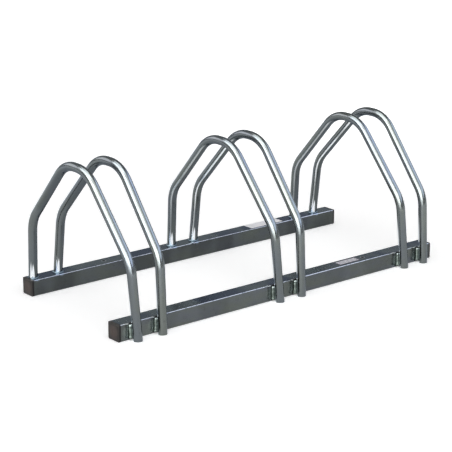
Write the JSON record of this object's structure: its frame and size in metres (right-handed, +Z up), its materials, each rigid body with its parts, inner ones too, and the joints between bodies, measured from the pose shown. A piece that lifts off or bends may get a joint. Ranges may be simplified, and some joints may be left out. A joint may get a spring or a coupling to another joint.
{
  "type": "floor bike rack",
  "caption": "Floor rack for bicycles: square tube rails with plastic end caps carry pairs of bent tube hoops, and each pair holds a wheel upright.",
  "frame": {"origin": "on the floor, under the middle of the rack's bounding box", "axes": "+X along the rails, +Y from the front rail to the back rail, +Z up"},
  "size_m": [0.737, 0.3286, 0.267],
  "materials": {
    "rail_steel": "zinc-plated square tube, smooth, semi-gloss",
    "hoop_steel": "zinc-plated round tube, smooth, semi-gloss",
    "weld_bead": "weld bead, zinc plated over its ripples",
    "cap_plastic": "moulded brownish black polyethylene, fine grain",
    "label_white": "plain white adhesive film",
    "label_dark": "plain dark blue adhesive film with a pale panel"
  },
  "bodies": {
    "root": {"front_rail": "rail_steel", "back_rail": "rail_steel", "front_left_cap": "cap_plastic", "front_right_cap": "cap_plastic", "back_left_cap": "cap_plastic", "back_right_cap": "cap_plastic", "place_1_left_hoop": "hoop_steel", "place_1_left_foot_weld": "weld_bead", "place_1_left_side_welds": "weld_bead", "place_1_right_hoop": "hoop_steel", "place_1_right_foot_weld": "weld_bead", "place_1_right_side_welds": "weld_bead", "place_2_left_hoop": "hoop_steel", "place_2_left_foot_weld": "weld_bead", "place_2_left_side_welds": "weld_bead", "place_2_right_hoop": "hoop_steel", "place_2_right_foot_weld": "weld_bead", "place_2_right_side_welds": "weld_bead", "place_3_left_hoop": "hoop_steel", "place_3_left_foot_weld": "weld_bead", "place_3_left_side_welds": "weld_bead", "place_3_right_hoop": "hoop_steel", "place_3_right_foot_weld": "weld_bead", "place_3_right_side_welds": "weld_bead", "front_label": "label_dark", "back_label": "label_white"}
  },
  "joints": []
}
